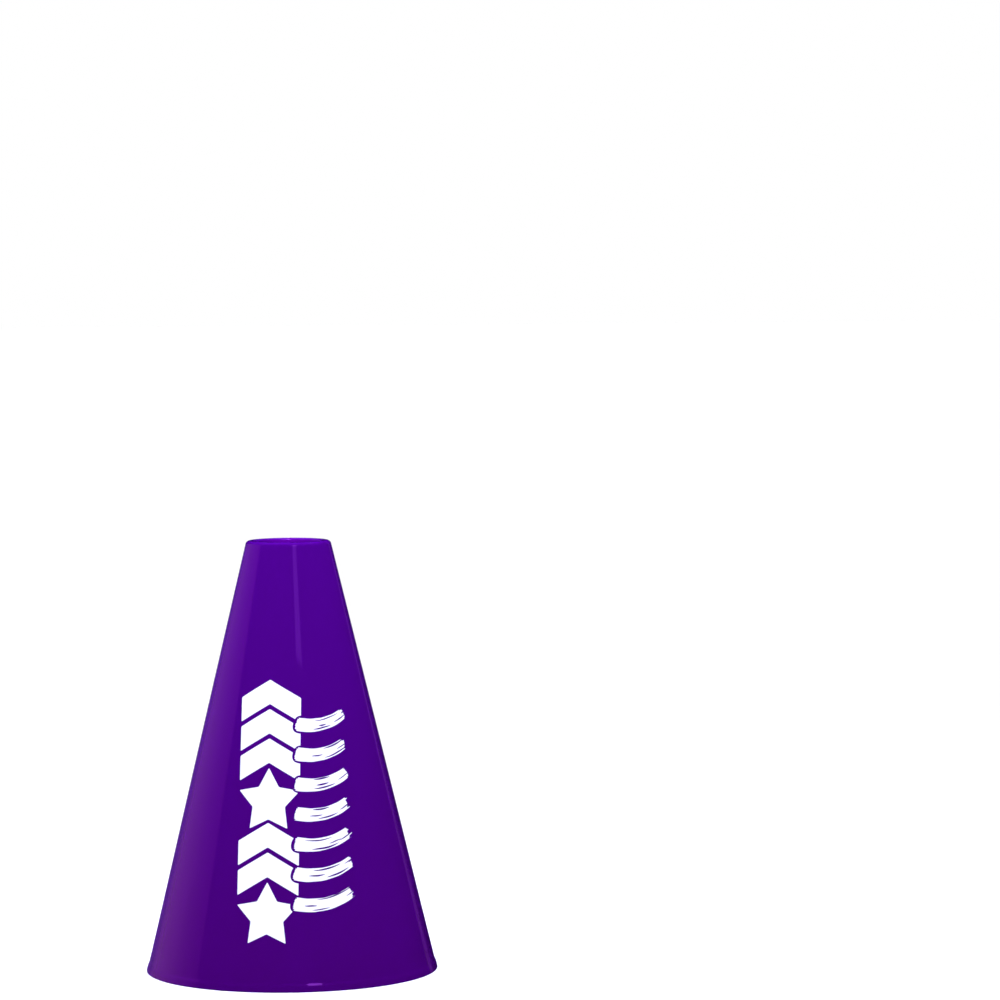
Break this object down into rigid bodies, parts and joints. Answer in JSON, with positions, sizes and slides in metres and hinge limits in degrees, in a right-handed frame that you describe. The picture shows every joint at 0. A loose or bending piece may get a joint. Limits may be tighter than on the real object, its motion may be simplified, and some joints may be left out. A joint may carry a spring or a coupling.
{
  "type": "cheer megaphone",
  "caption": "Small hand-held cheer megaphone: a tapered plastic cone open at both ends, with a beaded bell rim, a rounded mouthpiece lip and white printed shapes on its front.",
  "frame": {"origin": "centre of the bell rim's resting face, on the cone's axis", "axes": "+Z along the cone's axis from the bell rim up to the mouthpiece, -Y towards the printed front, +X to the right of someone who looks at the print"},
  "size_m": [0.155, 0.155, 0.229],
  "materials": {
    "purple_plastic": "gloss",
    "white_ink": "satin"
  },
  "bodies": {
    "root": {"cone_shell": "purple_plastic", "print_star_lower": "white_ink", "print_chevron_lower_1": "white_ink", "print_chevron_lower_2": "white_ink", "print_star_upper": "white_ink", "print_chevron_upper_1": "white_ink", "print_chevron_upper_2": "white_ink", "print_chevron_upper_3": "white_ink", "print_brush_stroke_1": "white_ink", "print_brush_stroke_2": "white_ink", "print_brush_stroke_3": "white_ink", "print_brush_stroke_4": "white_ink", "print_brush_stroke_5": "white_ink", "print_brush_stroke_6": "white_ink", "print_brush_stroke_7": "white_ink"}
  },
  "joints": []
}
